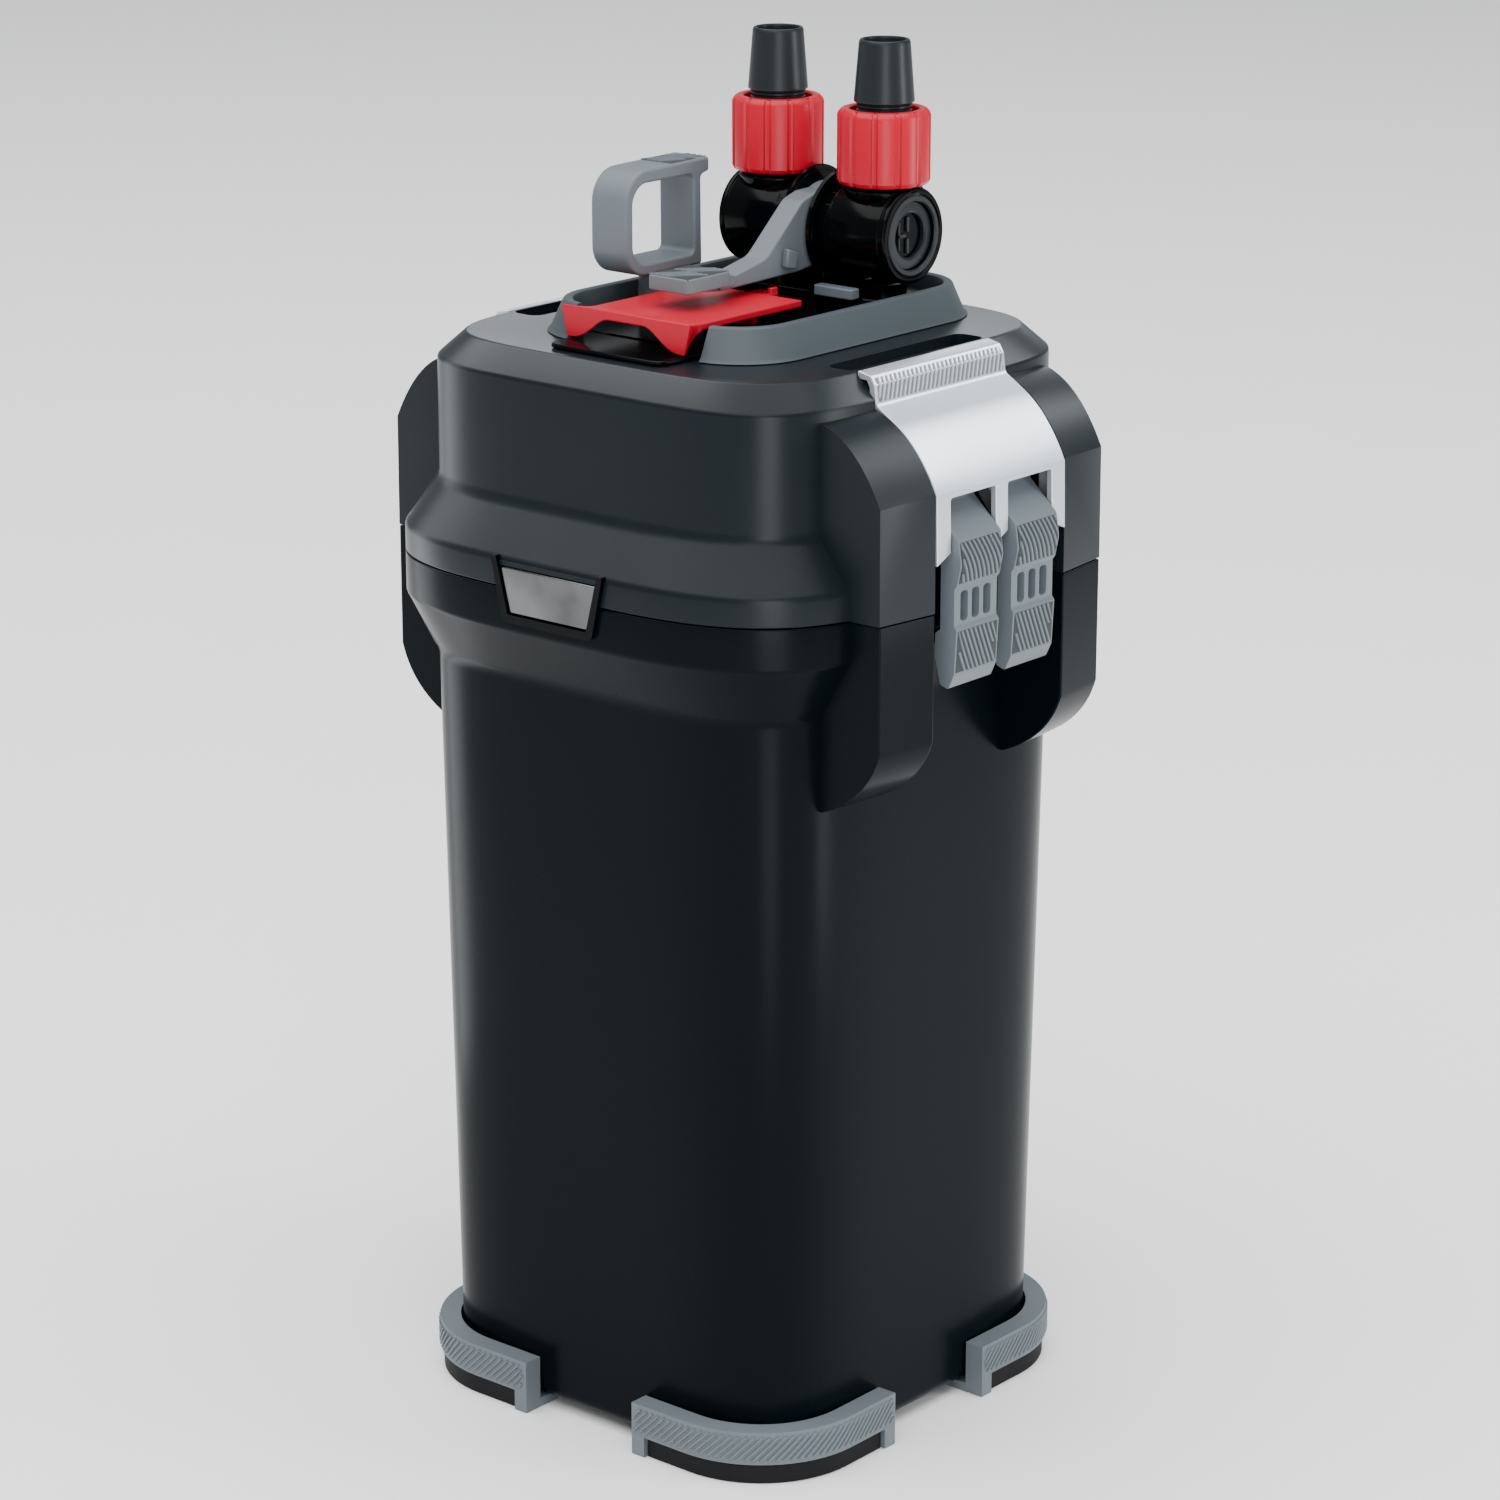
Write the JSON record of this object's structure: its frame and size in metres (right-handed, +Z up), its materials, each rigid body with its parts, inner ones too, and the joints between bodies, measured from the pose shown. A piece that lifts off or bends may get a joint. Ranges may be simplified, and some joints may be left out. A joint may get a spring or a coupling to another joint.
{
  "type": "canister filter",
  "caption": "External canister filter with a lift-off pump head, twin hose valves with lever, side latches, corner feet and lift-out media baskets.",
  "frame": {"origin": "under the middle of the canister, on the surface it stands on", "axes": "+Z up, -Y towards the badge, +X and -X towards the two side latches"},
  "size_m": [0.2028, 0.1767, 0.42],
  "materials": {
    "canister_black": "satin, near black with a blue cast",
    "lid_slate": "fine satin, dark slate",
    "collar_grey": "satin, mid grey",
    "trim_grey": "satin, light slate grey",
    "gloss_black": "gloss, black",
    "nozzle_slate": "satin, dark slate",
    "inner_black": "fine matte, black",
    "silver_trim": "silver metallic lacquer",
    "signal_red": "satin, signal red",
    "rubber": "soft black",
    "steel": "drawn",
    "ceramic": "ground",
    "magnet": "overmoulded magnet, black",
    "foam": "open cell reticulated foam"
  },
  "bodies": {
    "canister": {"canister_shell": "canister_black", "foot_front_left": "trim_grey", "foot_front_right": "trim_grey", "foot_rear_left": "trim_grey", "foot_rear_right": "trim_grey", "foot_pad_front_left": "rubber", "foot_pad_front_right": "rubber", "foot_pad_rear_left": "rubber", "foot_pad_rear_right": "rubber"},
    "head": {"lid_shell": "lid_slate", "badge_plate": "silver_trim", "head_collar": "collar_grey", "deck_insert": "gloss_black", "front_tongue": "signal_red", "clamp_cover_left": "silver_trim", "clamp_cover_right": "silver_trim", "latch_pin_left": "steel", "latch_pin_right": "steel", "lid_seal": "rubber", "head_underplate": "inner_black", "plate_screw_1": "steel", "plate_screw_2": "steel", "plate_screw_3": "steel", "plate_screw_4": "steel", "motor_housing": "inner_black", "impeller_cover": "collar_grey", "impeller_shaft": "ceramic", "outlet_duct": "inner_black", "intake_spout": "inner_black", "primer_tube": "inner_black", "cord_gland": "rubber", "port_seal_left": "rubber", "port_seal_right": "rubber"},
    "latch_left": {"latch_left": "trim_grey"},
    "latch_right": {"latch_right": "trim_grey"},
    "impeller": {"impeller": "collar_grey", "rotor_magnet": "magnet"},
    "primer": {"primer_handle": "trim_grey", "primer_piston": "rubber"},
    "valve_block": {"valve_body": "gloss_black"},
    "lever": {"valve_lever": "trim_grey"},
    "rotor_left": {"valve_rotor_left": "gloss_black"},
    "rotor_right": {"valve_rotor_right": "gloss_black"},
    "sleeve_left": {"hose_sleeve_left": "gloss_black", "hose_nozzle_left": "nozzle_slate"},
    "sleeve_right": {"hose_sleeve_right": "gloss_black", "hose_nozzle_right": "nozzle_slate"},
    "nut_left": {"lock_nut_left": "signal_red"},
    "nut_right": {"lock_nut_right": "signal_red"},
    "basket_stack": {"media_basket_bottom": "inner_black", "media_basket_middle": "inner_black", "media_basket_top": "inner_black", "basket_cover": "inner_black", "basket_handle": "signal_red"},
    "foam_cartridge": {"foam_frame": "collar_grey", "foam_pad_inner": "foam", "foam_pad_outer": "foam"}
  },
  "joints": [
    {"name": "head_lift", "type": "slide", "parent": "canister", "child": "head", "axis": [0, 0, 1], "range_m": [0, 0.5]},
    {"name": "basket_lift", "type": "slide", "parent": "canister", "child": "basket_stack", "axis": [0, 0, 1], "range_m": [0, 0.25]},
    {"name": "foam_lift", "type": "slide", "parent": "canister", "child": "foam_cartridge", "axis": [0, 0, 1], "range_m": [0, 0.25]},
    {"name": "latch_right_swing", "type": "hinge", "parent": "head", "child": "latch_right", "pos_m": [0.088, 0, 0.306], "axis": [0, -1, 0], "range_deg": [0, 35]},
    {"name": "latch_left_swing", "type": "hinge", "parent": "head", "child": "latch_left", "pos_m": [-0.088, 0, 0.306], "axis": [0, 1, 0], "range_deg": [0, 35]},
    {"name": "impeller_spin", "type": "hinge", "parent": "head", "child": "impeller", "pos_m": [0.014, -0.024, 0.29], "axis": [0, 0, 1], "continuous": true},
    {"name": "primer_stroke", "type": "slide", "parent": "head", "child": "primer", "axis": [0, 0, 1], "range_m": [0, 0.045]},
    {"name": "valve_block_lift", "type": "slide", "parent": "head", "child": "valve_block", "axis": [0, 0, 1], "range_m": [0, 0.06]},
    {"name": "lever_lift", "type": "hinge", "parent": "valve_block", "child": "lever", "pos_m": [0, 0.0406, 0.3617], "axis": [-1, 0, 0], "range_deg": [0, 75]},
    {"name": "rotor_left_turn", "type": "hinge", "parent": "valve_block", "child": "rotor_left", "pos_m": [-0.0208, 0.0406, 0.3617], "axis": [-1, 0, 0], "range_deg": [0, 75]},
    {"name": "rotor_right_turn", "type": "hinge", "parent": "valve_block", "child": "rotor_right", "pos_m": [0.0208, 0.0406, 0.3617], "axis": [-1, 0, 0], "range_deg": [0, 75]},
    {"name": "sleeve_left_swivel", "type": "hinge", "parent": "valve_block", "child": "sleeve_left", "pos_m": [-0.0208, 0.0406, 0.3617], "axis": [-1, 0, 0], "range_deg": [0, 90]},
    {"name": "sleeve_right_swivel", "type": "hinge", "parent": "valve_block", "child": "sleeve_right", "pos_m": [0.0208, 0.0406, 0.3617], "axis": [-1, 0, 0], "range_deg": [0, 90]},
    {"name": "nut_left_turn", "type": "hinge", "parent": "sleeve_left", "child": "nut_left", "pos_m": [-0.0208, 0.0406, 0.388], "axis": [0, 0, 1], "continuous": true},
    {"name": "nut_right_turn", "type": "hinge", "parent": "sleeve_right", "child": "nut_right", "pos_m": [0.0208, 0.0406, 0.388], "axis": [0, 0, 1], "continuous": true}
  ],
  "couplings": [
    {"joint": "rotor_left_turn", "follows": "lever_lift", "ratio": 1},
    {"joint": "rotor_right_turn", "follows": "lever_lift", "ratio": 1},
    {"joint": "basket_lift", "follows": "head_lift", "ratio": 0.5},
    {"joint": "foam_lift", "follows": "head_lift", "ratio": 0.5}
  ]
}
